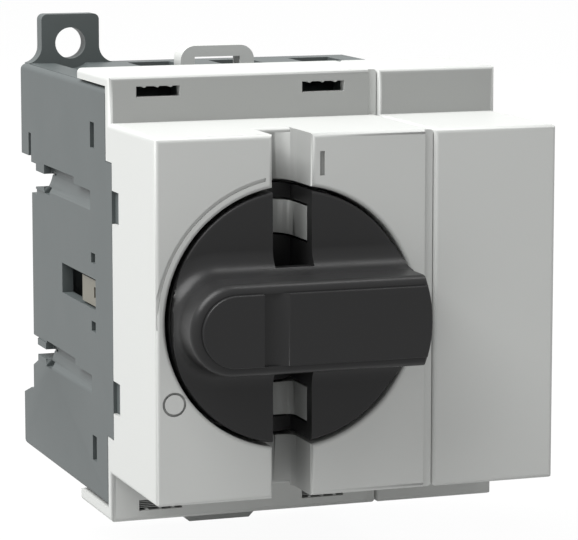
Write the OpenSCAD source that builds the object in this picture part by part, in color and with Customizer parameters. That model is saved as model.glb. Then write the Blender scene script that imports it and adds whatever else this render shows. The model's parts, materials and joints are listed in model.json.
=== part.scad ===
// Rotary switch disconnector that snaps onto a 35 mm mounting rail.
// Origin: centre of the face that rests on the front of the rail.
// X runs to the right, Y from the front to the back, Z upwards.
// A depth is measured backwards from the front of the cover.

/* [Overall] */
// Distance from the fixed contact tips back to the rail seat
terminal_room = 10.7; // [10:0.1:12]
// How far the back plane lies behind the rail seat
hook_reach = 4.9; // [4.6:0.1:6]
// Height of the raised front block
block_h = 45; // [44:0.1:47]
// Depth of the flange face
flange_depth = 19.6; // [18.5:0.1:20.5]
// Width of one module
module_w = 17.5; // [17.5:0.1:18.5]
// Radius on the cover's outer edges
cover_edge_r = 0.6; // [0.3:0.1:0.8]
// Radius on the edges of the shackle channel and of the handle's opening
inner_edge_r = 0.5; // [0.2:0.1:0.6]
// Wall of the covers
cover_wall = 1.6; // [1.2:0.1:1.8]
// Thickness of the flange plate
flange_t = 1.4; // [1.2:0.1:1.6]
// How far the flange walls reach back over the housing
flange_skirt = 12.8; // [10:0.1:14]
// Wall of the flange over the housing
flange_wall = 1.3; // [1.1:0.1:1.5]
// Gap between the flange and the housing
flange_play = 0.25; // [0.2:0.05:0.4]
// How much thicker the flange is below than above
flange_drop = 0.3; // [0:0.05:0.5]

/* [Housing] */
// Width of the housing
housing_w = 47.7; // [47.2:0.1:49]
// Height of the housing
housing_h = 53.7; // [53:0.1:54]
// Radius along the housing's upper and lower edges
housing_edge_r = 0.8; // [0.3:0.1:1.2]
// Radius along the housing's back edges, above and below
back_edge_r = 1; // [0.4:0.1:1.4]
// Wall of the housing
housing_wall = 1.5; // [1.2:0.1:1.6]
// Thickness of the housing's front wall
front_wall = 1.8; // [1.5:0.1:2]
// Height of the rail between its edges
rail_h = 35; // [35:0.1:35.4]
// Thickness of the rail's edge
rail_t = 1; // [1:0.05:1.2]
// Play of the rail in the hook
rail_play = 0.1; // [0.05:0.05:0.2]
// How far the seat stands back under the rail's two edges
seat_relief = 0.2; // [0.1:0.05:0.3]
// Depth of the scooped pockets in the housing's side
pocket_t = 1.1; // [0.8:0.05:1.1]

/* [Poles] */
// Distance between poles
pole_pitch = 11.75; // [11.6:0.05:12]
// Place of the first pole, from the middle of the housing
first_pole = -6.75; // [-7:0.05:-6.5]
// Width of a pole chamber
chamber_w = 7.6; // [7.4:0.1:7.8]
// Width of a wire entry
entry_w = 6; // [5.6:0.1:6.4]
// Distance of the screws' axes from the top and the bottom of the housing
screw_inset = 5.85; // [5.6:0.05:6]
// Radius of a terminal screw's shank
screw_r = 1.5; // [1.3:0.05:1.5]
// Radius of a terminal screw's head
screw_head_r = 2.9; // [2.6:0.1:3]
// Height of a terminal cage
cage_h = 6; // [5:0.1:6.2]
// Thickness of the copper
copper_t = 0.9; // [0.8:0.05:1]
// Width of the fixed contacts
contact_w = 5; // [4.6:0.1:5.2]
// Height of the contact tips above the middle
tip_z = 8.5; // [8.3:0.1:9]
// Radius of a contact tip
tip_r = 1.6; // [1.3:0.1:1.8]

/* [Handle] */
// Place of the handle's axis across the front, from the left side
axis_from_left = 17.5; // [17.3:0.05:17.7]
// Radius of the opening round the handle
opening_r = 16.2; // [16:0.1:16.4]
// Radius of the handle's disc
disc_r = 15.7; // [15.4:0.1:15.9]
// Thickness of the handle's disc
disc_t = 1.7; // [1.5:0.1:2]
// Inner radius of the handle's skirt
skirt_inner_r = 13.9; // [13.8:0.1:14]
// Radius of the handle's hub
hub_r = 9.2; // [8.8:0.1:9.2]
// Depth to which the skirt reaches
skirt_depth = 10.4; // [9.5:0.1:10.6]
// How far the grip stands in front of the cover
grip_h = 8.5; // [7.5:0.1:10]
// Half of the grip's length
grip_reach = 15.4; // [15:0.1:15.6]
// Radius on the grip's edges
grip_edge_r = 1.1; // [0.6:0.1:1.3]
// Radius on the rim of the handle's disc
disc_edge_r = 0.4; // [0.2:0.05:0.6]
// Height of the grip's front face
grip_w = 11.2; // [10:0.1:12]
// Radius of the hollow at the grip's foot
grip_foot_r = 3; // [2:0.1:3.5]
// Height of the panel raised on the grip's face
panel_t = 0.5; // [0.3:0.05:0.6]
// Height of that panel from edge to edge
panel_w = 8.8; // [8:0.1:9]
// Depth of the dip across the panel
dip_t = 0.9; // [0.6:0.1:1.2]
// Radius of that dip
dip_r = 4.5; // [4:0.1:6]
// Place of the step between the panel's two fields
dip_edge_x = -6.5; // [-7:0.1:-6]
// Turn of the handle from off to on, in degrees
handle_turn = 90; // [90:1:90]
// Side of the square drive shaft
shaft_side = 6; // [5.5:0.1:6.4]
// Radius of the shaft's journal
journal_r = 5; // [4.8:0.1:5.2]
// Radial clearance of the journal
journal_play = 0.05; // [0.03:0.01:0.09]

/* [Padlock channel] */
// Width of the channel for a padlock shackle
channel_w = 5.05; // [4.8:0.05:5.2]
// Depth of the channel
channel_depth = 8; // [7.5:0.1:8.4]
// Radius in the left corner of the channel's floor
channel_r = 1; // [0.5:0.1:1.5]
// Radius in the right corner of the channel's floor
channel_wide_r = 2.2; // [1.5:0.1:2.4]
// Wall round the channel
channel_wall = 1.5; // [1.2:0.1:1.6]

/* [Contact carrier] */
// Travel of the carrier between off and on
carrier_travel = 7.5; // [7:0.1:7.6]
// Radius of the cam on the drive shaft
cam_r = 6.4; // [6.2:0.1:6.6]
// Inner radius of the carrier's sleeve
sleeve_r = 7.3; // [7.2:0.1:7.5]
// Wall of the carrier's sleeve
sleeve_wall = 1.8; // [1.5:0.1:2]
// Height of the carrier's cross bar
bar_h = 8.4; // [8:0.1:9]
// Radius of the pins that run in the cam
follower_r = 1; // [0.9:0.05:1.1]
// Play of those pins in the cam, on each side
follower_play = 0.25; // [0.2:0.05:0.3]
// Length of a contact spring
contact_spring_len = 3.4; // [3.2:0.1:4]
// Thickness of a moving contact
moving_t = 1; // [0.8:0.1:1.2]
// Thickness of the bar that holds a moving contact down
window_bar_t = 0.9; // [0.8:0.1:1.1]

/* [Rail clip] */
// Width of the clip's loop and of its pull tab
clip_w = 10.5; // [10:0.1:11]
// Thickness of the clip
clip_t = 3.1; // [3:0.05:3.3]
// Distance from the clip's front face back to the rail seat
clip_room = 9.7; // [9.6:0.05:9.8]
// Width of the clip's stem
stem_w = 2.6; // [2.4:0.1:2.8]
// How far the clip's loop stands above the housing
loop_rise = 2.85; // [2.4:0.05:3.6]
// How far the pull tab hangs below the housing
tab_drop = 9.45; // [7.5:0.05:13]
// Travel of the clip as it lets go of the rail
clip_travel = 2.2; // [2:0.1:2.3]
// How far the clip's nose reaches behind the rail
clip_bite = 1.5; // [1.2:0.1:1.6]
// Clearance round the clip
clip_play = 0.2; // [0.15:0.05:0.25]

/* [Fixing ear] */
// Radius of the hole in the fixing ear
ear_hole_r = 2.15; // [2:0.05:2.5]
// Width of the fixing ear
ear_w = 8.2; // [8:0.1:9]
// Thickness of the fixing ear
ear_t = 2.4; // [2:0.1:3]
// How far the ear stands out beyond the housing
ear_rise = 6.75; // [6.2:0.05:8]
// How far the ear's hole lies beyond the housing
ear_hole_rise = 2.75; // [2.5:0.05:3]
// Distance of the ear's axis from the side of the housing
ear_from_side = 6.5; // [6.4:0.1:7.5]

/* [Hidden] */
$fn = 64;

cover_color = [0.80, 0.81, 0.80];
housing_color = [0.42, 0.45, 0.46];
black_color = [0.16, 0.16, 0.17];
cream_color = [0.72, 0.68, 0.56];
copper_color = [0.76, 0.48, 0.32];
steel_color = [0.68, 0.70, 0.72];

eps = 0.01;
housing_depth = flange_depth + flange_t + 0.2;
cam_front = housing_depth + front_wall + 0.4;
cam_end = cam_front + carrier_travel + 3.1;
carrier_front = cam_front + 0.4;
carrier_floor = cam_end + 0.2;
carrier_back = carrier_floor + 1;
bridge_front = carrier_back + contact_spring_len;
bridge_back = bridge_front + moving_t;
tip_off = bridge_back + 0.3;
contact_front = tip_off + carrier_travel + 0.1;
seat_depth = contact_front + terminal_room;
body_depth = seat_depth + hook_reach;
clip_depth = seat_depth - clip_room;
flange_reach = housing_depth + flange_skirt;
flange_h = housing_h + 2 * (flange_wall + flange_play);
screw_z = housing_h / 2 - screw_inset;
loop_top = housing_h / 2 + loop_rise;
tab_bottom = housing_h / 2 + tab_drop;
ear_top = housing_h / 2 + ear_rise;
ear_hole_z = housing_h / 2 + ear_hole_rise;
left = -housing_w / 2;
right = housing_w / 2;
front = -seat_depth;
axis_x = left + axis_from_left;
groove_w = 1.2;
seam_play = 0.05;
side_play = 0.3;
side_left = left + 2 * module_w + groove_w - 0.1;
cover_right = left + 3 * module_w;
front_right = side_left - seam_play;
back = body_depth - seat_depth;
chamber_half = housing_h / 2 - housing_wall;

function at(depth) = depth - seat_depth;
function pole_x(pole) = first_pole + (pole - 1) * pole_pitch;

// A box from its two corners, with Y given as depths
module slab(x0, x1, d0, d1, z0, z1) {
    translate([x0, at(d0), z0])
        cube([x1 - x0, d1 - d0, z1 - z0]);
}

// A round bar along Y, between two depths
module rod(x, z, r, d0, d1) {
    translate([x, at(d0), z])
        rotate([-90, 0, 0])
            cylinder(r = r, h = d1 - d0);
}

// A flat outline drawn in depth and height, extended along X
module profile_x(x0, x1) {
    translate([x0, 0, 0])
        rotate([90, 0, 90])
            linear_extrude(x1 - x0)
                translate([-seat_depth, 0])
                    children();
}

// A flat outline drawn in X and height, extended along Y
module profile_y(d0, d1) {
    translate([0, at(d1), 0])
        rotate([90, 0, 0])
            linear_extrude(d1 - d0)
                children();
}

// A rectangle with round corners
module soft_rect(x0, x1, y0, y1, r) {
    translate([x0 + r, y0])
        square([x1 - x0 - 2 * r, y1 - y0]);
    translate([x0, y0 + r])
        square([x1 - x0, y1 - y0 - 2 * r]);
    for (x = [x0 + r, x1 - r], y = [y0 + r, y1 - r])
        translate([x, y])
            circle(r);
}

// A box whose edges are all rounded, open at the back end
module soft_block(x0, x1, d0, d1, z0, z1, r) {
    intersection() {
        profile_x(x0, x1)
            soft_rect(d0, d1 + 2 * r, z0, z1, r);
        translate([0, 0, z0])
            linear_extrude(z1 - z0)
                soft_rect(x0, x1, at(d0), at(d1) + 2 * r, r);
        profile_y(d0, d1)
            soft_rect(x0, x1, z0, z1, r);
    }
}

// The same shape above and below the middle
module both_ends() {
    children();
    mirror([0, 0, 1])
        children();
}

// Housing

lip_z = 14.4;
seat_top = 9.4;
lower_lip_z = rail_h / 2 + 0.5;
slot_top = rail_h / 2 - 0.3;
mech_half = 11;
mech_end = carrier_back + carrier_travel + 0.8;
arc_half = screw_z - 4.6;
arc_end = seat_depth - 1.7;
cage_front = seat_depth - 6.2;
cage_back = seat_depth + 0.5;
entry_front = cage_front + 0.6;
entry_back = cage_back + 0.1;
hook_slot_z = 13.65;
relief_low = -14.6;
notch_floor = seat_depth - 8;
inset_depth = seat_depth - 7.05;
cage_low = screw_z - cage_h / 2 + 0.9;
window_front = 26.2;
window_back = 42.4;
window_low = -2.2;
window_high = 1.8;
tongue_z = 17.6;
tongue_front = 18.4;
hook_front = 15.4;
hook_low = 10;
hook_high = 14.2;
latch_places = [3.65, 25.75];
latch_w = 5.75;
latch_high = flange_h / 2 - 1.35;
latch_low = latch_high - 1.35;
stem_x = (pole_x(1) + pole_x(2)) / 2;
stem_left = stem_x - stem_w / 2;
stem_right = stem_x + stem_w / 2;
clip_back = clip_depth + clip_t;
loop_low = loop_top - 4.5;
recess_low = loop_low - clip_travel - clip_play;
nose_depth = seat_depth + rail_t + 0.3;
nose_back = body_depth - 0.6;
nose_top = clip_bite - rail_h / 2;
arm_top = nose_top - 5;
arm_low = arm_top - 3;
nose_w = 8;

// Side view of the back: rail recess, hook and lips
module housing_outline() {
    difference() {
        translate([housing_depth, -housing_h / 2])
            square([body_depth - housing_depth, housing_h]);
        polygon([
            [seat_depth, -seat_top - 1],
            [seat_depth, seat_top],
            [seat_depth - 2.6, seat_top],
            [seat_depth - 2.6, seat_top + 1.1],
            [notch_floor, 11.1],
            [notch_floor, 12.7],
            [seat_depth - 2.7, 12.7],
            [seat_depth - 2.7, hook_slot_z],
            [seat_depth - seat_relief, hook_slot_z],
            [seat_depth - seat_relief, slot_top + 0.4],
            [seat_depth + rail_t + rail_play, slot_top + 0.4],
            [seat_depth + rail_t + rail_play, lip_z],
            [body_depth + 1, lip_z],
            [body_depth + 1, -lower_lip_z - 1.6],
            [seat_depth + 1, -lower_lip_z],
            [seat_depth - seat_relief, -lower_lip_z],
            [seat_depth - seat_relief, relief_low],
            [seat_depth - 2.7, -13.6],
            [seat_depth - 2.7, -12.7],
            [notch_floor, -12.7],
            [notch_floor, -11.4],
            [seat_depth - 2.6, -11.4],
            [seat_depth - 2.6, -seat_top - 1]
        ]);
    }
}

// The same outline without the deep notches, for the middle of the housing
module core_outline() {
    difference() {
        translate([housing_depth, -housing_h / 2])
            square([body_depth - housing_depth, housing_h]);
        polygon([
            [seat_depth - seat_relief, -lower_lip_z],
            [seat_depth - seat_relief, relief_low],
            [seat_depth, relief_low],
            [seat_depth, hook_slot_z],
            [seat_depth - seat_relief, hook_slot_z],
            [seat_depth - seat_relief, slot_top + 0.4],
            [seat_depth + rail_t + rail_play, slot_top + 0.4],
            [seat_depth + rail_t + rail_play, lip_z],
            [body_depth + 1, lip_z],
            [body_depth + 1, -lower_lip_z - 1.6],
            [seat_depth + 1, -lower_lip_z]
        ]);
    }
}

// Scooped pocket in the side for a neighbour's locking tongue
module side_pocket(z) {
    fade = 3.5;
    scoop_r = (fade * fade + pocket_t * pocket_t) / (2 * pocket_t);
    wide_from = notch_floor - 13.9;
    narrow_from = wide_from - 7.9;
    intersection() {
        rod(left + pocket_t - scoop_r, z + 1.9, scoop_r, narrow_from, notch_floor + 1);
        union() {
            slab(left - 1, left + 2, wide_from, notch_floor + 1, z - fade, z + 1.9);
            slab(left - 1, left + 2, narrow_from, wide_from + eps, z - fade, z + 1);
        }
    }
}

// Two small square holes above and below a side notch
module notch_holes(z_low, z_high) {
    slab(left - 1, left + 1.2, inset_depth - 2.7, inset_depth, z_high, z_high + 1);
    slab(left - 1, left + 1.2, inset_depth - 2.7, inset_depth, z_low - 1, z_low);
}

// Fixing ear with its round top corners and wide foot
module ear(x) {
    corner_r = 0.8;
    foot_r = 2.3;
    foot_end = 0.5;
    half = ear_w / 2;
    low = housing_h / 2;
    difference() {
        profile_y(body_depth - ear_t, body_depth)
            difference() {
                union() {
                    soft_rect(x - half, x + half, low - 3, ear_top, corner_r);
                    translate([x - half - foot_r + foot_end, low - 1])
                        square([ear_w + 2 * (foot_r - foot_end), foot_r + 1]);
                }
                for (side = [-1, 1])
                    translate([x + side * (half + foot_r), low + foot_r])
                        circle(foot_r);
                translate([x - half - 2 * foot_r, low + foot_r])
                    square([2 * foot_r - eps, foot_r]);
                translate([x + half + eps, low + foot_r])
                    square([2 * foot_r, foot_r]);
            }
        rod(x, ear_hole_z, ear_hole_r, body_depth - ear_t - 1, body_depth + 1);
    }
}

// Room for the head of the screw in front of the ear
module ear_scoop(x) {
    rod(x, ear_hole_z, 3.5, housing_depth + 14, body_depth - ear_t);
}

// One pole's chamber and the places of its terminals
module pole_chamber(x) {
    half = chamber_w / 2;
    slab(x - half, x + half, bridge_front - 1.6, arc_end, -arc_half, arc_half);
    both_ends() {
        slab(x - half, x + half, contact_front, cage_back - 2.2, arc_half - 1, chamber_half);
        slab(x - half, x + half, cage_front - 0.4, cage_back + 0.2, cage_low - 0.2, chamber_half);
        rod(x, screw_z, screw_r + 0.3, 30, cage_front);
        rod(x, screw_z, screw_head_r + 0.3, housing_depth - 1, 31.2);
        slab(x - entry_w / 2, x + entry_w / 2, entry_front, entry_back, chamber_half - 1, housing_h / 2 + 1);
    }
}

// Way for the clip's loop, stem, arm and nose
module clip_way() {
    slab(stem_left - clip_play, stem_right + clip_play, clip_depth - clip_play,
        clip_back + clip_play, -housing_h / 2 - 1, housing_h / 2 + 1);
    slab(-clip_w / 2 - clip_play, clip_w / 2 + clip_play, clip_depth - clip_play,
        clip_back + clip_play, recess_low, housing_h / 2 + 1);
    slab(stem_left - clip_play, stem_right + clip_play, clip_depth, body_depth + 1,
        arm_low - clip_travel - 0.3, -lower_lip_z + 1);
    slab(stem_x - nose_w / 2 - clip_play, stem_x + nose_w / 2 + clip_play, nose_depth - clip_play,
        body_depth + 1, arm_low - clip_travel - 0.3, -lower_lip_z + 1);
}

// Pits behind the latch windows of the flange
module latch_pits(places) {
    both_ends()
        for (x = places)
            slab(left + x - 0.2, left + x + latch_w + 0.2, housing_depth - 1, housing_depth + 3, latch_low - 0.4,
                housing_h / 2 + 1);
}

// Post on which the clip's spring stands
spring_low = -6;
spring_len = 9;
spring_room = 0.8;
module spring_post() {
    slab(stem_x - spring_room + clip_play, stem_x + spring_room - clip_play, clip_depth - clip_play - eps,
        clip_back + clip_play + eps, spring_low - 1.6, spring_low);
}

module housing() {
    notch_reach = 4.6;
    vent_depth = 26.3;
    color(housing_color)
        difference() {
            union() {
                intersection() {
                    union() {
                        profile_x(left, left + notch_reach)
                            housing_outline();
                        profile_x(left + notch_reach - eps, right)
                            core_outline();
                    }
                    profile_y(housing_depth - 1, body_depth + 1)
                        soft_rect(left, right, -housing_h / 2, housing_h / 2, housing_edge_r);
                    profile_x(left - 1, right + 1)
                        soft_rect(housing_depth - 5, body_depth, -housing_h / 2, housing_h / 2, back_edge_r);
                }
                slab(left, left + housing_wall, tongue_front, housing_depth + eps, -tongue_z, tongue_z);
                both_ends()
                    slab(left + 0.45, left + housing_wall, hook_front + 0.1, tongue_front + eps,
                        hook_low + 0.1, hook_high - 0.1);
                ear(left + ear_from_side);
                mirror([1, 0, 0])
                    mirror([0, 0, 1])
                        ear(left + ear_from_side);
            }
            ear_scoop(left + ear_from_side);
            mirror([1, 0, 0])
                mirror([0, 0, 1])
                    ear_scoop(left + ear_from_side);
            slab(left + housing_wall, right - housing_wall, housing_depth + front_wall, mech_end,
                -mech_half, mech_half);
            rod(axis_x, 0, journal_r + journal_play, housing_depth - 1, housing_depth + front_wall + 1);
            for (pole = [1:3])
                pole_chamber(pole_x(pole));
            difference() {
                clip_way();
                spring_post();
            }
            slab(left - 1, left + housing_wall + 1, window_front, window_back, window_low, window_high);
            for (z = [18.7, 3.8, -5.1, -22.1])
                slab(left - 1, left + 1, vent_depth, vent_depth + 1.9, z, z + (abs(z) > 10 ? 3.3 : 1.3));
            side_pocket(12.1);
            side_pocket(-12.0);
            notch_holes(11.1, 12.7);
            notch_holes(-12.7, -11.4);
            slab(left - 1, left + 0.12, inset_depth - 0.2, seat_depth + 1, -10.5, 10.2);
            latch_pits(latch_places);
        }
}

// Covers

// The same shape in the flange above, and below where the flange is thicker
module flange_ends() {
    children();
    translate([0, 0, -flange_drop])
        mirror([0, 0, 1])
            children();
}

// Front face of a cover with its flange and the walls over the housing
module cover_shell(x0, x1) {
    inner = flange_h / 2 - flange_wall;
    soft_block(x0, x1, 0, flange_depth + 1, -block_h / 2, block_h / 2, cover_edge_r);
    difference() {
        soft_block(x0, x1, flange_depth, flange_reach, -flange_h / 2 - flange_drop, flange_h / 2, cover_edge_r);
        slab(x0 - 1, x1 + 1, flange_depth + flange_t, flange_reach + 1, -inner, inner);
    }
}

// Hollow behind the front block
module cover_hollow(x0, x1, face_t) {
    slab(x0, x1, face_t, housing_depth + 1, -block_h / 2 + cover_wall, block_h / 2 - cover_wall);
}

well_wall = 1.5;
mark_w = 0.6;
mark_t = 0.25;
arc_t = 0.2;
ring_inner_r = hub_r + 0.3;
ring_outer_r = skirt_inner_r - 0.3;
well_depth = skirt_depth + 0.4;
ring_front = disc_t + 0.2;

// Slot for a shackle, from the top of the cover to its bottom
module shackle_channel(w, d) {
    x0 = axis_x - w / 2;
    x1 = axis_x + w / 2;
    translate([0, 0, -block_h])
        linear_extrude(2 * block_h) {
            translate([x0, front - 20])
                square([w, 20 + d - channel_wide_r]);
            translate([x0, front])
                square([channel_r + eps, d - channel_r]);
            translate([x0 + channel_r, front])
                square([w - channel_r - channel_wide_r, d]);
            translate([x0 + channel_r, front + d - channel_r])
                circle(channel_r);
            translate([x1 - channel_wide_r, front + d - channel_wide_r])
                circle(channel_wide_r);
        }
}

// Rounding of one front edge of the channel, with the material on the given side
module channel_edge(x, side) {
    r = inner_edge_r;
    translate([x + side * r, front + r, -block_h / 2 - 1])
        linear_extrude(block_h + 2)
            difference() {
                translate([side > 0 ? -r - eps : 0, -r - 1])
                    square([r + eps, r + 1]);
                circle(r);
            }
}

// Rounding of the channel's floor where it meets the top and the bottom of the block
module channel_end() {
    r = cover_edge_r;
    both_ends()
        profile_x(axis_x - channel_w / 2, axis_x + channel_w / 2)
            translate([channel_depth + r, block_h / 2 - r])
                difference() {
                    translate([-r - 1, 0])
                        square([r + 1, r + 1]);
                    circle(r);
                }
}

// Ring that the handle turns on and the pit round it
module handle_well() {
    rod(axis_x, 0, opening_r + well_wall, cover_edge_r, well_depth + well_wall);
}

module well_room() {
    difference() {
        rod(axis_x, 0, opening_r, -1, well_depth);
        rod(axis_x, 0, ring_outer_r, ring_front, well_depth + 1);
    }
    rod(axis_x, 0, ring_inner_r, -1, well_depth + well_wall + 1);
    translate([axis_x, front, 0])
        rotate([-90, 0, 0])
            rotate_extrude()
                difference() {
                    translate([opening_r - 0.5, -1])
                        square([inner_edge_r + 0.5, inner_edge_r + 1]);
                    translate([opening_r + inner_edge_r, inner_edge_r])
                        circle(inner_edge_r);
                }
}

module on_mark() {
    mark_x = axis_x + channel_w / 2 + 1.35;
    mark_low = opening_r + 1.1;
    slab(mark_x - mark_w / 2, mark_x + mark_w / 2, -1, mark_t, mark_low, mark_low + 3);
}

module off_mark() {
    mark_r = 1.5;
    translate([axis_x - 15.15, front, -9.9])
        rotate([-90, 0, 0])
            difference() {
                cylinder(r = mark_r, h = 2 * mark_t, center = true);
                cylinder(r = mark_r - mark_w / 2, h = 1, center = true);
            }
}

// Shallow arc round the handle, from the upper mark to the left mark
module arc_mark() {
    arc_r = opening_r + 1.2;
    half = 0.22;
    arc_low = 1.2;
    arc_end_gap = 0.9;
    difference() {
        rod(axis_x, 0, arc_r + half, -1, arc_t);
        rod(axis_x, 0, arc_r - half, -2, 1);
        slab(axis_x - channel_w / 2 - arc_end_gap, cover_right, -3, 2, -block_h, block_h);
        slab(left - 1, cover_right, -3, 2, -block_h, arc_low);
    }
    slab(left - 1, axis_x - arc_r + half, -1, arc_t, -0.7, arc_low);
}

module latch_slots(places) {
    flange_ends()
        for (x = places)
            slab(left + x, left + x + latch_w, flange_depth - 1, flange_depth + flange_t + 1, latch_low, latch_high);
}

// Three small nubs on the outer edge of each latch window
module latch_nubs(places) {
    nub_r = 0.3;
    nub_pitch = latch_w / 3.3;
    flange_ends()
        for (x = places, k = [-1:1])
            rod(left + x + latch_w / 2 + nub_pitch * k, latch_high + nub_r / 3, nub_r, flange_depth + nub_r,
                flange_depth + flange_t);
}

module front_cover() {
    inner_left = left + cover_wall;
    inner_right = front_right - cover_wall;
    color(cover_color)
        difference() {
            union() {
                difference() {
                    cover_shell(left, front_right);
                    cover_hollow(inner_left, inner_right, 2);
                }
                intersection() {
                    union() {
                        handle_well();
                        shackle_channel(channel_w + 2 * channel_wall, channel_depth + channel_wall);
                    }
                    slab(left, front_right, cover_edge_r, flange_depth, -block_h / 2 + cover_edge_r,
                        block_h / 2 - cover_edge_r);
                }
            }
            well_room();
            shackle_channel(channel_w, channel_depth);
            channel_edge(axis_x - channel_w / 2, -1);
            channel_edge(axis_x + channel_w / 2, 1);
            channel_end();
            difference() {
                latch_slots(latch_places);
                latch_nubs(latch_places);
            }
            slab(left - 1, left + cover_wall + 1, tongue_front - 0.1, housing_depth + 1,
                -tongue_z - 0.1, tongue_z + 0.1);
            both_ends()
                slab(left - 1, left + cover_wall + 1, hook_front, tongue_front, hook_low, hook_high);
            slab(front_right - groove_w, front_right + 1, -1, 0.35, -block_h, block_h);
            both_ends()
                slab(front_right - groove_w, front_right + 1, flange_depth - 1, flange_depth + 0.35,
                    block_h / 2, flange_h);
            on_mark();
            off_mark();
            arc_mark();
        }
}

module side_cover() {
    color(cover_color)
        difference() {
            union() {
                difference() {
                    cover_shell(side_left, cover_right);
                    cover_hollow(side_left + cover_wall, cover_right - cover_wall, 2);
                }
                slab(cover_right - cover_wall, cover_right - 0.3, flange_depth + 1, flange_reach,
                    -flange_h / 2 + 0.6, flange_h / 2 - 0.6);
            }
            slab(side_left - 1, right + side_play, housing_depth - 0.2, flange_reach + 1, -housing_h / 2 - 0.2,
                housing_h / 2 + 0.2);
        }
}

// Handle

// A round post that stands on the front of the cover, with a rounded end
module round_post(x, r, h, edge) {
    translate([x, front + 0.1, 0])
        rotate([90, 0, 0])
            rotate_extrude() {
                square([r - edge, h + 0.1]);
                square([r, h + 0.1 - edge]);
                translate([r - edge, h + 0.1 - edge])
                    circle(edge);
            }
}

// A long bar with one round end and rounded front edges
module grip_bar(half, h, edge) {
    end_x = grip_w / 2 - grip_reach;
    top = half - edge;
    round_post(end_x, half, h, edge);
    intersection() {
        translate([end_x, 0, 0])
            rotate([90, 0, 90])
                linear_extrude(2 * grip_reach)
                    translate([front, 0]) {
                        translate([edge - h, -half])
                            square([h + 0.1 - edge, 2 * half]);
                        translate([-h, -top])
                            square([h, 2 * top]);
                        for (side = [-1, 1])
                            translate([edge - h, side * top])
                                circle(edge);
                    }
        round_post(0, grip_reach, h, edge / 2);
    }
}

// Raised panel with a dip between its round field and its long field
module grip_panel() {
    intersection() {
        grip_bar(panel_w / 2, grip_h, 0.2);
        round_post(0, grip_reach - 0.3, grip_h, 0.2);
        slab(-grip_reach, grip_reach, -grip_h - 1, panel_t + eps - grip_h, -panel_w / 2, panel_w / 2);
    }
}

// Room cut by the dip, to the right of its step
module grip_dip() {
    intersection() {
        translate([dip_edge_x + 0.6, front - grip_h - dip_r + dip_t, -panel_w / 2])
            cylinder(r = dip_r, h = panel_w);
        slab(dip_edge_x, 0, -grip_h - 1, 0, -panel_w / 2, panel_w / 2);
    }
}

// Hollow-sided foot that carries the grip on the disc
module grip_foot() {
    half = grip_w / 2;
    end_x = half - grip_reach;
    r = grip_foot_r;
    intersection() {
        union() {
            translate([end_x, front, 0])
                rotate([90, 0, 0])
                    rotate_extrude()
                        difference() {
                            square([half + r, r]);
                            translate([half + r, r])
                                circle(r);
                        }
            translate([end_x, 0, 0])
                rotate([90, 0, 90])
                    linear_extrude(32)
                        translate([front, 0])
                            difference() {
                                translate([-r, -half - r])
                                    square([r, 2 * half + 2 * r]);
                                for (side = [-1, 1])
                                    translate([-r, side * (half + r)])
                                        circle(r);
                            }
        }
        translate([0, front - r, 0])
            rotate([-90, 0, 0])
                cylinder(r = disc_r, h = r + 1);
    }
}

module handle() {
    color(black_color)
        translate([axis_x, 0, 0])
            difference() {
                union() {
                    translate([0, disc_t, 0])
                        round_post(0, disc_r, disc_t, disc_edge_r);
                    difference() {
                        rod(0, 0, disc_r, disc_t + 0.1 - eps, skirt_depth);
                        rod(0, 0, skirt_inner_r, disc_t, skirt_depth + 1);
                    }
                    rod(0, 0, hub_r, disc_t - eps, 12);
                    grip_bar(grip_w / 2, grip_h - panel_t, grip_edge_r);
                    grip_panel();
                    grip_foot();
                }
                difference() {
                    slab(-channel_w / 2, channel_w / 2, -1, channel_depth, -disc_r - 1, disc_r + 1);
                    slab(-channel_w, channel_w, -2, disc_t, -grip_w / 2 - 0.6, grip_w / 2 + 0.6);
                }
                grip_dip();
                translate([-shaft_side / 2 - 0.05, at(9.4), -shaft_side / 2 - 0.05])
                    cube([shaft_side + 0.1, 5, shaft_side + 0.1]);
            }
}

module drive_shaft() {
    color(steel_color) {
        slab(axis_x - shaft_side / 2, axis_x + shaft_side / 2, 9.5, cam_end - 0.2, -shaft_side / 2,
            shaft_side / 2);
        rod(axis_x, 0, journal_r, housing_depth - 1.5, cam_front - 0.1);
    }
}

// Barrel with two screw-shaped grooves that push the carrier
module cam() {
    slope = handle_turn / carrier_travel;
    cam_len = cam_end - cam_front;
    slot_w = (2 * follower_r + 2 * follower_play) / cos(atan(cam_r * slope * PI / 180));
    first_pin = 1.5;
    color(black_color)
        translate([axis_x, at(cam_front), 0])
            rotate([-90, 0, 0])
                difference() {
                    rotate([0, 0, first_pin * slope])
                        linear_extrude(cam_len, twist = cam_len * slope, slices = 16)
                            difference() {
                                circle(cam_r, $fn = 36);
                                for (side = [0, 180])
                                    rotate(side)
                                        translate([cam_r - 1.9, -slot_w / 2])
                                            square([4, slot_w]);
                            }
                    cube([shaft_side + 0.1, shaft_side + 0.1, 3 * cam_len], center = true);
                }
}

// Contact carrier

bar_t = cam_end - cam_front - 2.7;
bar_wall = 1.2;
bar_floor = 1.4;
bar_play = 0.2;
tab_len = 7.3;

// Window that holds one moving contact and its spring
module contact_window(x) {
    wall = 1;
    gap = 2.3;
    for (side = [-1, 1])
        slab(x + side * (gap + wall / 2) - wall / 2, x + side * (gap + wall / 2) + wall / 2,
            carrier_back - eps, bridge_back + window_bar_t, -1.8, 1.8);
    slab(x - gap - eps, x + gap + eps, bridge_back, bridge_back + window_bar_t, -1.8, 1.8);
}

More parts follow.
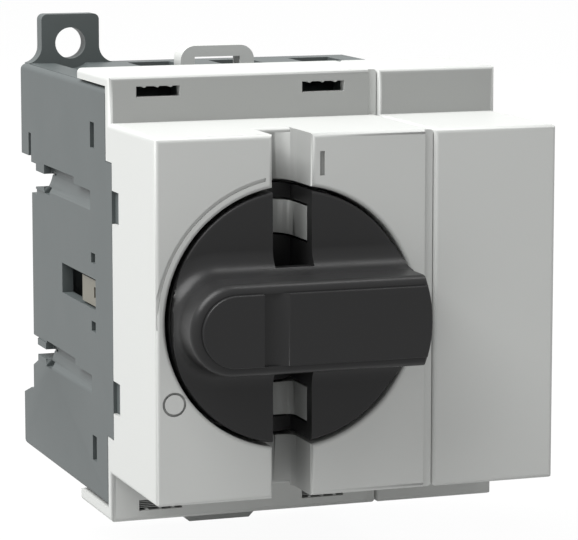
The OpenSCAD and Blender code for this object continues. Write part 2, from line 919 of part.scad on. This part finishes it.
module contact_carrier() {
    tab_front = window_front;
    tab_back = window_front + tab_len;
    color(cream_color)
        difference() {
            union() {
                rod(axis_x, 0, sleeve_r + sleeve_wall, carrier_front, carrier_back);
                difference() {
                    slab(left + housing_wall + bar_play, right - housing_wall - bar_play,
                        carrier_back - bar_t, carrier_back, -bar_h / 2, bar_h / 2);
                    for (pole = [2, 3])
                        slab(pole_x(pole) - chamber_w / 2 + 0.4, pole_x(pole) + chamber_w / 2 - 0.4, carrier_front,
                            carrier_back - bar_floor, -bar_h / 2 + bar_wall, bar_h / 2 - bar_wall);
                }
                slab(left + 0.3, left + housing_wall + 1, tab_front, tab_back, -1.9, 1.5);
                for (pole = [1:3])
                    contact_window(pole_x(pole));
            }
            difference() {
                rod(axis_x, 0, sleeve_r, carrier_front - 1, carrier_floor);
                for (side = [0, 180])
                    translate([axis_x, at(cam_front + 1.5), 0])
                        rotate([0, side, 0])
                            translate([cam_r - 1.5, 0, 0])
                                rotate([0, 90, 0])
                                    cylinder(r = follower_r, h = 4);
            }
            slab(left, left + 1, tab_front + 0.5, tab_front + 1.8, -0.8, 0.6);
        }
}

module moving_contact(x) {
    color(copper_color) {
        slab(x - 2.1, x + 2.1, bridge_front, bridge_back, -10.2, 10.2);
        for (z = [-tip_z, tip_z])
            rod(x, z, tip_r, bridge_back - eps, tip_off);
    }
}

// Wire coil that stands on the plane z = 0
module coil(r, wire_r, len, turns) {
    steps = round(turns * 14);
    sides = 6;
    rings = [for (i = [0:steps]) let (t = i / steps, a = 360 * turns * t)
        for (k = [0:sides - 1]) let (b = 360 * k / sides)
            [(r + wire_r * cos(b)) * cos(a), (r + wire_r * cos(b)) * sin(a),
                wire_r + (len - 2 * wire_r) * t + wire_r * sin(b)]];
    faces = concat(
        [[for (k = [0:sides - 1]) k]],
        [for (i = [0:steps - 1], k = [0:sides - 1]) let (n = (k + 1) % sides)
            [i * sides + k, (i + 1) * sides + k, (i + 1) * sides + n, i * sides + n]],
        [[for (k = [sides - 1:-1:0]) steps * sides + k]]);
    polyhedron(rings, faces);
}

module contact_spring(x) {
    color(steel_color)
        translate([x, at(carrier_back), 0])
            rotate([-90, 0, 0])
                coil(1.5, 0.25, bridge_front - carrier_back, 4);
}

// Fixed contacts and terminals

plate_front = contact_front + 0.7;
plate_back = plate_front + copper_t;
tongue_face = cage_front + 1.05;
shelf_z = screw_z - 4;

module fixed_contact(x) {
    color(copper_color) {
        profile_x(x - contact_w / 2, x + contact_w / 2)
            polygon([
                [plate_front, tip_z - 2],
                [plate_back, tip_z - 2],
                [plate_back, shelf_z],
                [tongue_face + copper_t, shelf_z],
                [tongue_face + copper_t, cage_low + cage_h - 0.3],
                [tongue_face, cage_low + cage_h - 0.3],
                [tongue_face, shelf_z + copper_t],
                [plate_front, shelf_z + copper_t]
            ]);
        rod(x, tip_z, tip_r, contact_front, plate_front + eps);
    }
}

module clamp_cage(x) {
    half = chamber_w / 2 - 0.2;
    color(steel_color)
        difference() {
            slab(x - half, x + half, cage_front, cage_back, cage_low, cage_low + cage_h);
            slab(x - half + 0.7, x + half - 0.7, cage_front + 1, cage_back - 0.6, cage_low - 1,
                cage_low + cage_h + 1);
            rod(x, screw_z, screw_r + 0.05, cage_front - 1, cage_front + 2);
        }
}

module terminal_screw(x) {
    head_front = 28;
    head_t = 2.6;
    color(steel_color)
        difference() {
            union() {
                rod(x, screw_z, screw_r, head_front + head_t - eps, tongue_face - 0.05);
                rod(x, screw_z, screw_head_r, head_front, head_front + head_t);
            }
            slab(x - screw_head_r - 1, x + screw_head_r + 1, head_front - 1, head_front + 1.1,
                screw_z - 0.4, screw_z + 0.4);
            slab(x - 0.4, x + 0.4, head_front - 1, head_front + 1.1, screw_z - 1.8, screw_z + 1.8);
        }
}

// Rail clip

module clip_loop() {
    corner_r = 2;
    low = loop_low;
    profile_y(clip_depth, clip_back)
        difference() {
            union() {
                translate([-clip_w / 2, low])
                    square([clip_w, corner_r]);
                soft_rect(-clip_w / 2, clip_w / 2, low, loop_top, corner_r);
            }
            translate([-clip_w / 2 + 2, loop_top - 3.4])
                square([clip_w - 4, 1.9]);
        }
}

module pull_tab() {
    top = -housing_h / 2 - 0.4;
    cut = 0.9;
    profile_y(clip_depth, clip_back)
        difference() {
            polygon([
                [-clip_w / 2, top],
                [-clip_w / 2, -tab_bottom + cut],
                [-clip_w / 2 + cut, -tab_bottom],
                [clip_w / 2 - cut, -tab_bottom],
                [clip_w / 2, -tab_bottom + cut],
                [clip_w / 2, top]
            ]);
            translate([-clip_w / 2 + 2, -tab_bottom + 1.6])
                square([clip_w - 4, 2.2]);
        }
}

module rail_clip() {
    color(cover_color)
        difference() {
            union() {
                clip_loop();
                pull_tab();
                slab(stem_left, stem_right, clip_depth, clip_back, -tab_bottom + 4, loop_low + 1);
                slab(stem_left, stem_right, clip_back - 1, nose_back, arm_low, arm_top);
                profile_x(stem_x - nose_w / 2, stem_x + nose_w / 2)
                    polygon([
                        [nose_depth, arm_low],
                        [nose_back, arm_low],
                        [nose_back, nose_top - 1.9],
                        [nose_depth + 0.6, nose_top],
                        [nose_depth, nose_top]
                    ]);
            }
            slab(stem_x - spring_room, stem_x + spring_room, clip_depth - 1, clip_back + 1,
                spring_low - 1.6 - clip_play, spring_low + spring_len + 0.1);
        }
}

// Folded leaf spring that pushes the clip up
module clip_spring() {
    folds = 8;
    half_w = spring_room - clip_play;
    half_t = 0.35;
    reach = clip_t / 2 - half_t - 0.1;
    rise = spring_len / folds;
    middle = clip_depth + clip_t / 2;
    way_up = [for (i = [0:folds]) [middle + (i % 2 == 0 ? -reach : reach) - half_t, spring_low + i * rise]];
    way_down = [for (i = [folds:-1:0]) way_up[i] + [2 * half_t, 0]];
    color(steel_color)
        profile_x(stem_x - half_w, stem_x + half_w)
            polygon(concat(way_up, way_down));
}

housing();
front_cover();
side_cover();
handle();
drive_shaft();
cam();
contact_carrier();
for (pole = [1:3]) {
    moving_contact(pole_x(pole));
    contact_spring(pole_x(pole));
    fixed_contact(pole_x(pole));
    mirror([0, 0, 1]) fixed_contact(pole_x(pole));
    clamp_cage(pole_x(pole));
    mirror([0, 0, 1]) clamp_cage(pole_x(pole));
    terminal_screw(pole_x(pole));
    mirror([0, 0, 1]) terminal_screw(pole_x(pole));
}
rail_clip();
clip_spring();
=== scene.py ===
import json
import math

import bpy
from mathutils import Matrix, Vector


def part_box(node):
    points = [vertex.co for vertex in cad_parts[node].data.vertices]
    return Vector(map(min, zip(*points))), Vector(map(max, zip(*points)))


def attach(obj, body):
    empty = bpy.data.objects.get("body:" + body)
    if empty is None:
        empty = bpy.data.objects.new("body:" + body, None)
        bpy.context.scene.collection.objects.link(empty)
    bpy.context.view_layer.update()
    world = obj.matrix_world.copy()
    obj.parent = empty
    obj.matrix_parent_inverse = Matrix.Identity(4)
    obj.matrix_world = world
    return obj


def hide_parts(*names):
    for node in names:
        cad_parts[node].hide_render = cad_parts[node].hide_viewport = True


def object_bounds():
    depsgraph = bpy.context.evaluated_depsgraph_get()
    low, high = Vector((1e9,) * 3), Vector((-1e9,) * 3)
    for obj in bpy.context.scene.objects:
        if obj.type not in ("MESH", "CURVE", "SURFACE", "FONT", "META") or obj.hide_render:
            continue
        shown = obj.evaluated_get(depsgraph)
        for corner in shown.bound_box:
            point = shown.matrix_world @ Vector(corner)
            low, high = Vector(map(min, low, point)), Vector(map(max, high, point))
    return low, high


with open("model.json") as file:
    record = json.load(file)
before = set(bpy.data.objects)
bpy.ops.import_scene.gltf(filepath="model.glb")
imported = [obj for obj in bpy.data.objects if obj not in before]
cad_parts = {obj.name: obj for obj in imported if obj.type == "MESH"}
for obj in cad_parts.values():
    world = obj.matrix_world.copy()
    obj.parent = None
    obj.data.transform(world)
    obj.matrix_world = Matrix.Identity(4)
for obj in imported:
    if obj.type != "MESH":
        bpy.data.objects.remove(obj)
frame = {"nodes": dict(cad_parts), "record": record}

bl_info = {
    "name": "Rail Switch Dresser",
    "version": (1, 0, 0),
    "blender": (4, 5, 0),
    "location": "View3D > Sidebar > Switch",
    "description": "Dresses the solids of a rail mounted rotary switch and sets them in a small studio",
    "category": "Object",
}

MM = 0.001
CAD_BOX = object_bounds()
SEAT_DEPTH = 58.2 * MM
LEFT_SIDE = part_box("housing")[0].x


# Sizes, colours and lights that a user would change

class SwitchSizes(bpy.types.PropertyGroup):
    grain: bpy.props.FloatProperty(
        name="Grain", description="Size of the grain on the moulded plastics",
        default=0.22 * MM, unit="LENGTH")
    rolling: bpy.props.FloatProperty(
        name="Rolling lines", description="Distance between the rolling lines on the metals",
        default=0.12 * MM, unit="LENGTH")
    rib: bpy.props.FloatProperty(
        name="Rib", description="Thickness of the ribs behind the lower latch windows",
        default=0.09 * MM, unit="LENGTH")


class SwitchColours(bpy.types.PropertyGroup):
    cover: bpy.props.FloatVectorProperty(
        name="Cover", description="Pale grey of the covers", size=3, subtype="COLOR",
        default=(0.485, 0.494, 0.481))
    housing: bpy.props.FloatVectorProperty(
        name="Housing", description="Slate grey of the housing", size=3, subtype="COLOR",
        default=(0.068, 0.079, 0.079))
    handle: bpy.props.FloatVectorProperty(
        name="Handle", description="Black of the handle", size=3, subtype="COLOR",
        default=(0.0165, 0.0165, 0.0168))
    carrier: bpy.props.FloatVectorProperty(
        name="Carrier", description="Cream of the contact carrier", size=3, subtype="COLOR",
        default=(0.125, 0.119, 0.094))
    copper: bpy.props.FloatVectorProperty(
        name="Copper", description="Colour of the contact strips", size=3, subtype="COLOR",
        default=(0.74, 0.42, 0.27))
    steel: bpy.props.FloatVectorProperty(
        name="Steel", description="Colour of the plated steel", size=3, subtype="COLOR",
        default=(0.55, 0.56, 0.57))


class SwitchStudio(bpy.types.PropertyGroup):
    key_power: bpy.props.FloatProperty(
        name="Key power", description="Power of the large lamp above on the left", default=15.0)
    top_power: bpy.props.FloatProperty(
        name="Top power", description="Power of the small lamp overhead", default=1.6)
    fill_power: bpy.props.FloatProperty(
        name="Fill power", description="Power of the lamp in front", default=0.4)
    ambient: bpy.props.FloatProperty(
        name="Ambient", description="Strength of the even light from all round", default=0.45)


# Finishes

def node_at(tree, kind, place):
    node = tree.nodes.new(kind)
    node.location = place
    return node


def grained_plastic(name, colour, roughness, shade_spread, specular=0.5):
    """Moulded plastic: a fine even grain, slow shade changes and uneven gloss."""
    material = bpy.data.materials.new(name)
    material.use_nodes = True
    tree = material.node_tree
    link = tree.links.new
    shader = tree.nodes["Principled BSDF"]
    shader.inputs["Specular IOR Level"].default_value = specular
    place = node_at(tree, "ShaderNodeTexCoord", (-1200, 0))
    cloud = node_at(tree, "ShaderNodeTexNoise", (-950, 250))
    cloud.inputs["Scale"].default_value = 90.0
    cloud.inputs["Detail"].default_value = 3.0
    shade = node_at(tree, "ShaderNodeMix", (-450, 300))
    shade.data_type = "RGBA"
    shade.inputs["A"].default_value = (*[c * (1 - shade_spread) for c in colour], 1)
    shade.inputs["B"].default_value = (*[min(1, c * (1 + shade_spread)) for c in colour], 1)
    gloss = node_at(tree, "ShaderNodeMapRange", (-450, 0))
    gloss.inputs["To Min"].default_value = roughness - 0.05
    gloss.inputs["To Max"].default_value = roughness + 0.05
    grain = node_at(tree, "ShaderNodeTexNoise", (-950, -300))
    grain.inputs["Scale"].default_value = 1.0 / bpy.context.scene.switch_sizes.grain
    grain.inputs["Detail"].default_value = 2.0
    bump = node_at(tree, "ShaderNodeBump", (-450, -300))
    bump.inputs["Strength"].default_value = 0.35
    bump.inputs["Distance"].default_value = 0.02 * MM
    link(place.outputs["Object"], cloud.inputs["Vector"])
    link(place.outputs["Object"], grain.inputs["Vector"])
    link(cloud.outputs["Fac"], shade.inputs["Factor"])
    link(cloud.outputs["Fac"], gloss.inputs["Value"])
    link(grain.outputs["Fac"], bump.inputs["Height"])
    link(shade.outputs["Result"], shader.inputs["Base Color"])
    link(gloss.outputs["Result"], shader.inputs["Roughness"])
    link(bump.outputs["Normal"], shader.inputs["Normal"])
    return material


def rolled_metal(name, colour, roughness):
    """Strip or wire with faint rolling lines and spots of dull oxide."""
    material = bpy.data.materials.new(name)
    material.use_nodes = True
    tree = material.node_tree
    link = tree.links.new
    shader = tree.nodes["Principled BSDF"]
    shader.inputs["Metallic"].default_value = 1.0
    place = node_at(tree, "ShaderNodeTexCoord", (-1200, 0))
    stretch = node_at(tree, "ShaderNodeMapping", (-1000, 0))
    stretch.inputs["Scale"].default_value = (1.0, 1.0, 0.06)
    lines = node_at(tree, "ShaderNodeTexNoise", (-800, -200))
    lines.inputs["Scale"].default_value = 1.0 / bpy.context.scene.switch_sizes.rolling
    lines.inputs["Detail"].default_value = 3.0
    spots = node_at(tree, "ShaderNodeTexNoise", (-800, 200))
    spots.inputs["Scale"].default_value = 400.0
    shade = node_at(tree, "ShaderNodeMix", (-450, 250))
    shade.data_type = "RGBA"
    shade.inputs["A"].default_value = (*[c * 0.72 for c in colour], 1)
    shade.inputs["B"].default_value = (*colour, 1)
    gloss = node_at(tree, "ShaderNodeMapRange", (-450, 0))
    gloss.inputs["To Min"].default_value = roughness - 0.08
    gloss.inputs["To Max"].default_value = roughness + 0.12
    bump = node_at(tree, "ShaderNodeBump", (-450, -250))
    bump.inputs["Strength"].default_value = 0.2
    bump.inputs["Distance"].default_value = 0.01 * MM
    link(place.outputs["Object"], stretch.inputs["Vector"])
    link(stretch.outputs["Vector"], lines.inputs["Vector"])
    link(place.outputs["Object"], spots.inputs["Vector"])
    link(spots.outputs["Fac"], shade.inputs["Factor"])
    link(lines.outputs["Fac"], gloss.inputs["Value"])
    link(lines.outputs["Fac"], bump.inputs["Height"])
    link(shade.outputs["Result"], shader.inputs["Base Color"])
    link(gloss.outputs["Result"], shader.inputs["Roughness"])
    link(bump.outputs["Normal"], shader.inputs["Normal"])
    return material


def finish_for(kind):
    """The material for a kind of piece, made once."""
    found = bpy.data.materials.get(kind)
    if found:
        return found
    colours = bpy.context.scene.switch_colours
    if kind == "cover_grey":
        return grained_plastic(kind, colours.cover, 0.5, 0.012, 0.24)
    # Painted shade: a copy of the cover colour darkened to 0.65 for the upper flange front and the shackle
    # channel, where shade falls.
    if kind == "cover_recess_painted_shade":
        return grained_plastic(kind, [c * 0.65 for c in colours.cover], 0.5, 0.012, 0.28)
    # Painted shade: a copy of the cover colour darkened to 0.58 for the engraved marks, the shallow groove by the
    # left edge and the latch ribs.
    if kind == "cover_painted_deeper_shade":
        return grained_plastic(kind, [c * 0.58 for c in colours.cover], 0.6, 0.012, 0.2)
    # Painted shadow: a copy of the housing colour darkened to 0.4 for the walls of the small step on the
    # housing's left side.
    if kind == "housing_step_painted_shadow":
        return grained_plastic(kind, [c * 0.4 for c in colours.housing], 0.6, 0.03, 0.2)
    if kind == "housing_slate":
        return grained_plastic(kind, colours.housing, 0.5, 0.03, 0.4)
    if kind == "handle_black":
        return grained_plastic(kind, colours.handle, 0.34, 0.04, 0.19)
    if kind == "carrier_cream":
        return grained_plastic(kind, colours.carrier, 0.5, 0.02)
    if kind == "copper_strip":
        return rolled_metal(kind, colours.copper, 0.32)
    return rolled_metal("plated_steel", colours.steel, 0.35)


# Work on meshes

def choose_none():
    bpy.ops.object.select_all(action="DESELECT")


def choose(piece):
    """Select this piece alone and make it active."""
    choose_none()
    piece.select_set(True)
    bpy.context.view_layer.objects.active = piece


def shade(piece):
    """Shade the fillets smooth and keep the flat faces flat."""
    choose(piece)
    bpy.ops.object.shade_smooth_by_angle(angle=math.radians(28))
    bpy.ops.object.modifier_add(type="WEIGHTED_NORMAL")
    weighted = piece.modifiers[-1]
    weighted.keep_sharp = True
    weighted.weight = 80
    bpy.ops.object.modifier_apply(modifier=weighted.name)


def dressed(node, piece_name, kind):
    """A merged, smoothly shaded copy of a CAD node with a finish, in the node's place."""
    source = frame["nodes"][node]
    piece = bpy.data.objects.new(piece_name, source.data.copy())
    bpy.context.scene.collection.objects.link(piece)
    choose(piece)
    bpy.ops.object.mode_set(mode="EDIT")
    bpy.ops.mesh.select_all(action="SELECT")
    bpy.ops.mesh.remove_doubles(threshold=0.002 * MM)
    bpy.ops.mesh.dissolve_limited(angle_limit=math.radians(0.3))
    bpy.ops.object.mode_set(mode="OBJECT")
    shade(piece)
    piece.data.materials.clear()
    piece.data.materials.append(finish_for(kind))
    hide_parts(node)
    settle(piece, node)
    return piece


def tint(piece, kind, chosen):
    """Give another finish to the faces whose centre and normal pass a test; here each finish is a darker copy
    that paints shade.
    """
    piece.data.materials.append(finish_for(kind))
    slot = len(piece.data.materials) - 1
    for face in piece.data.polygons:
        if chosen(face.center / MM, face.normal):
            face.material_index = slot


def settle(piece, node):
    """Let a piece ride on its node's body."""
    record = frame["record"]
    for body, members in record["behaviour"]["bodies"].items():
        if node in members:
            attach(piece, body)


def repaint(node, kind):
    """Give a CAD node its finish and leave its mesh as it is."""
    item = frame["nodes"][node]
    item.data.materials.clear()
    item.data.materials.append(finish_for(kind))


def add_latch_ribs():
    """Thin level ribs behind the two lower latch windows of the flange."""
    thickness = bpy.context.scene.switch_sizes.rib / MM
    choose_none()
    ribs = []
    for left in (3.65, 25.75):
        for height in (-27.0, -26.76, -26.52, -26.28):
            bpy.ops.mesh.primitive_cube_add(size=1)
            rib = bpy.context.object
            rib.dimensions = Vector((5.65, 0.9, thickness)) * MM
            rib.location = Vector((left + 2.875, 20.4 - SEAT_DEPTH / MM, height)) * MM + Vector((LEFT_SIDE, 0, 0))
            bpy.ops.object.transform_apply(location=True, rotation=True, scale=True)
            ribs.append(rib)
    choose_none()
    for rib in ribs:
        rib.select_set(True)
    bpy.context.view_layer.objects.active = ribs[0]
    bpy.ops.object.join()
    joined = bpy.context.object
    joined.name = "latch_ribs"
    # The ribs take the darker cover colour as painted shade.
    joined.data.materials.append(finish_for("cover_painted_deeper_shade"))
    settle(joined, "front_cover")


# Operators

class SWITCH_OT_housing(bpy.types.Operator):
    """Dress the dark housing"""
    bl_idname = "switch.housing"
    bl_label = "Housing"

    def execute(self, context):
        # Painted shadow: picks the walls of the small step by the housing's left side, which take the darkened
        # housing colour.
        def in_step_shadow_line(at, normal):
            depth = at.y + SEAT_DEPTH / MM
            at_side = at.x - LEFT_SIDE / MM < 0.13
            return at_side and abs(normal.y) > 0.9 and abs(at.z) < 13 and 49 < depth < 53

        body = dressed("housing", "housing_body", "housing_slate")
        tint(body, "housing_step_painted_shadow", in_step_shadow_line)
        return {"FINISHED"}


class SWITCH_OT_covers(bpy.types.Operator):
    """Dress the two pale covers"""
    bl_idname = "switch.covers"
    bl_label = "Covers"

    def execute(self, context):
        front = -SEAT_DEPTH / MM
        axis_x = LEFT_SIDE / MM + 17.5

        # Painted shade: picks the upper flange front and the faces in the shackle channel, which take the
        # darkened cover colour.
        def in_painted_shade(at, normal):
            depth = at.y - front
            on_flange = abs(depth - 19.6) < 0.1 and normal.y < -0.9 and at.z > 0
            in_channel = abs(at.x - axis_x) < 2.6 and 0.6 < depth < (8.1 if at.z > 0 else 9.5)
            return on_flange or in_channel

        # Painted shade: picks the faces of the engraved marks and of the shallow groove by the left edge, which
        # take the darker cover colour.
        def in_painted_groove_shade(at, normal):
            depth = at.y - front
            off_axis = Vector((at.x - axis_x, at.z)).length
            clear_of_rim = off_axis > 16.72 and abs(at.x - axis_x) > 3.1
            inside = LEFT_SIDE / MM + 0.7 < at.x < axis_x + 15 and abs(at.z) < 21.5
            flat_or_wall = normal.y < -0.99 or abs(normal.y) < 0.1
            by_the_edge = at.x < LEFT_SIDE / MM + 0.8 and 0.06 < depth < 0.22 and flat_or_wall and -0.8 < at.z < 8
            return by_the_edge or 0.02 < depth < 0.3 and clear_of_rim and inside

        shell = dressed("front_cover", "front_cover_shell", "cover_grey")
        tint(shell, "cover_recess_painted_shade", in_painted_shade)
        tint(shell, "cover_painted_deeper_shade", in_painted_groove_shade)
        add_latch_ribs()
        side = dressed("side_cover", "side_cover_shell", "cover_grey")
        tint(side, "cover_recess_painted_shade", in_painted_shade)
        return {"FINISHED"}


class SWITCH_OT_handle(bpy.types.Operator):
    """Dress the black handle"""
    bl_idname = "switch.handle"
    bl_label = "Handle"

    def execute(self, context):
        dressed("handle", "handle_grip", "handle_black")
        return {"FINISHED"}


class SWITCH_OT_clip(bpy.types.Operator):
    """Dress the rail clip and its spring"""
    bl_idname = "switch.clip"
    bl_label = "Rail clip"

    def execute(self, context):
        dressed("rail_clip", "rail_clip_slider", "cover_grey")
        repaint("clip_spring", "plated_steel")
        return {"FINISHED"}


class SWITCH_OT_mechanism(bpy.types.Operator):
    """Dress the shaft, the cam, the contact carrier and what it holds"""
    bl_idname = "switch.mechanism"
    bl_label = "Mechanism"

    def execute(self, context):
        dressed("contact_carrier", "contact_carrier_slide", "carrier_cream")
        dressed("cam", "cam_barrel", "handle_black")
        dressed("drive_shaft", "drive_shaft_turned", "plated_steel")
        for pole in (1, 2, 3):
            dressed(f"moving_contact_{pole}", f"bridge_strip_{pole}", "copper_strip")
            dressed(f"contact_spring_{pole}", f"bridge_spring_{pole}", "plated_steel")
        return {"FINISHED"}


class SWITCH_OT_terminals(bpy.types.Operator):
    """Dress the fixed contacts, the clamps and the screws"""
    bl_idname = "switch.terminals"
    bl_label = "Terminals"

    def execute(self, context):
        for row in ("upper", "lower"):
            for pole in (1, 2, 3):
                dressed(f"{row}_contact_{pole}", f"{row}_strip_{pole}", "copper_strip")
                repaint(f"{row}_clamp_{pole}", "plated_steel")
                dressed(f"{row}_screw_{pole}", f"{row}_screw_turned_{pole}", "plated_steel")
        return {"FINISHED"}


def add_lamp(name, place, target, size, power):
    bpy.ops.object.light_add(type="AREA", location=place)
    lamp = bpy.context.object
    lamp.name = name
    lamp.data.size = size
    lamp.data.energy = power
    lamp.rotation_euler = (Vector(place) - Vector(target)).to_track_quat("Z", "Y").to_euler()
    return lamp


def add_camera():
    """The camera of the photograph, solved from the corners of the block and the flange."""
    azimuth = math.radians(-19.46)
    elevation = math.radians(8.47)
    back = Vector((math.sin(azimuth) * math.cos(elevation),
                   -math.cos(azimuth) * math.cos(elevation), math.sin(elevation)))
    right = Vector((0, 0, 1)).cross(back).normalized()
    up = back.cross(right)
    bpy.ops.object.camera_add()
    camera = bpy.context.object
    camera.name = "photo_camera"
    turn = Matrix((right, up, back)).transposed().to_4x4()
    place = Vector((-106.23, -349.02, 60.80)) * MM + Vector((LEFT_SIDE, -SEAT_DEPTH, 0))
    camera.matrix_world = Matrix.Translation(place) @ turn
    camera.data.sensor_width = 36
    camera.data.lens = 3070.5 * 36 / 578
    camera.data.shift_x = -0.0005
    camera.data.shift_y = 0.0029
    camera.data.clip_start = 0.01
    camera.data.clip_end = 20
    bpy.context.scene.camera = camera


def seen_white(tree, plain, strength):
    """Mix a plain shader with white for the rays that see it directly or in a reflection."""
    rays = node_at(tree, "ShaderNodeLightPath", (-900, 300))
    either = node_at(tree, "ShaderNodeMath", (-700, 300))
    either.operation = "MAXIMUM"
    any_way = node_at(tree, "ShaderNodeMath", (-500, 300))
    any_way.operation = "MAXIMUM"
    tree.links.new(rays.outputs["Is Camera Ray"], either.inputs[0])
    tree.links.new(rays.outputs["Is Glossy Ray"], either.inputs[1])
    tree.links.new(either.outputs[0], any_way.inputs[0])
    tree.links.new(rays.outputs["Is Transmission Ray"], any_way.inputs[1])
    share = node_at(tree, "ShaderNodeMath", (-300, 300))
    share.operation = "MULTIPLY"
    share.inputs[1].default_value = strength
    tree.links.new(any_way.outputs[0], share.inputs[0])
    mix = node_at(tree, "ShaderNodeMixShader", (-100, 0))
    tree.links.new(share.outputs[0], mix.inputs["Fac"])
    tree.links.new(plain.outputs[0], mix.inputs[1])
    return mix


def add_floor():
    """A pale floor that keeps the object's shadow."""
    bpy.ops.mesh.primitive_plane_add(size=12, location=(0, 0, CAD_BOX[0].z - 3 * MM))
    floor = bpy.context.object
    floor.name = "studio_floor"
    bpy.ops.object.transform_apply(location=True, rotation=True, scale=True)
    material = bpy.data.materials.new("studio_white")
    material.use_nodes = True
    tree = material.node_tree
    shader = tree.nodes["Principled BSDF"]
    shader.inputs["Base Color"].default_value = (0.42, 0.42, 0.42, 1)
    shader.inputs["Roughness"].default_value = 0.9
    glow = node_at(tree, "ShaderNodeEmission", (-300, -200))
    glow.inputs["Strength"].default_value = 1.08
    mix = seen_white(tree, shader, 0.88)
    tree.links.new(glow.outputs[0], mix.inputs[2])
    tree.links.new(mix.outputs[0], tree.nodes["Material Output"].inputs["Surface"])
    floor.data.materials.append(material)


def add_world(ambient):
    world = bpy.data.worlds.new("studio_air")
    bpy.context.scene.world = world
    world.use_nodes = True
    tree = world.node_tree
    plain = tree.nodes["Background"]
    plain.inputs["Color"].default_value = (1, 1, 1, 1)
    plain.inputs["Strength"].default_value = ambient
    white = node_at(tree, "ShaderNodeBackground", (-300, -200))
    white.inputs["Color"].default_value = (1, 1, 1, 1)
    mix = seen_white(tree, plain, 1.0)
    tree.links.new(white.outputs[0], mix.inputs[2])
    tree.links.new(mix.outputs[0], tree.nodes["World Output"].inputs["Surface"])


class SWITCH_OT_stage(bpy.types.Operator):
    """Set the floor, the lamps, the air and the camera"""
    bl_idname = "switch.stage"
    bl_label = "Studio"

    def execute(self, context):
        studio = context.scene.switch_studio
        centre = (0, -0.03, 0)
        add_floor()
        add_world(studio.ambient)
        add_lamp("key_lamp", (-0.48, -0.12, 0.71), centre, 0.7, studio.key_power)
        add_lamp("top_lamp", (0.3, -0.16, 0.84), centre, 0.22, studio.top_power)
        add_lamp("front_lamp", (0.45, -0.9, 0.12), centre, 0.8, studio.fill_power)
        add_camera()
        context.scene.view_settings.view_transform = "Standard"
        return {"FINISHED"}


OPERATORS = (SWITCH_OT_housing, SWITCH_OT_covers, SWITCH_OT_handle, SWITCH_OT_clip,
             SWITCH_OT_mechanism, SWITCH_OT_terminals, SWITCH_OT_stage)


class SWITCH_PT_panel(bpy.types.Panel):
    """Lists the steps that dress the switch"""
    bl_label = "Switch"
    bl_idname = "SWITCH_PT_panel"
    bl_space_type = "VIEW_3D"
    bl_region_type = "UI"
    bl_category = "Switch"

    def draw(self, context):
        for group in (context.scene.switch_sizes, context.scene.switch_colours, context.scene.switch_studio):
            for name in group.__annotations__:
                self.layout.prop(group, name)
        for operator in OPERATORS:
            self.layout.operator(operator.bl_idname)


CLASSES = (SwitchSizes, SwitchColours, SwitchStudio, *OPERATORS, SWITCH_PT_panel)


def register():
    for item in CLASSES:
        bpy.utils.register_class(item)
    bpy.types.Scene.switch_sizes = bpy.props.PointerProperty(type=SwitchSizes)
    bpy.types.Scene.switch_colours = bpy.props.PointerProperty(type=SwitchColours)
    bpy.types.Scene.switch_studio = bpy.props.PointerProperty(type=SwitchStudio)


def unregister():
    del bpy.types.Scene.switch_studio
    del bpy.types.Scene.switch_colours
    del bpy.types.Scene.switch_sizes
    for item in reversed(CLASSES):
        bpy.utils.unregister_class(item)


def main():
    register()
    bpy.ops.switch.housing()
    bpy.ops.switch.covers()
    bpy.ops.switch.handle()
    bpy.ops.switch.clip()
    bpy.ops.switch.mechanism()
    bpy.ops.switch.terminals()
    bpy.ops.switch.stage()


if __name__ == "__main__":
    main()
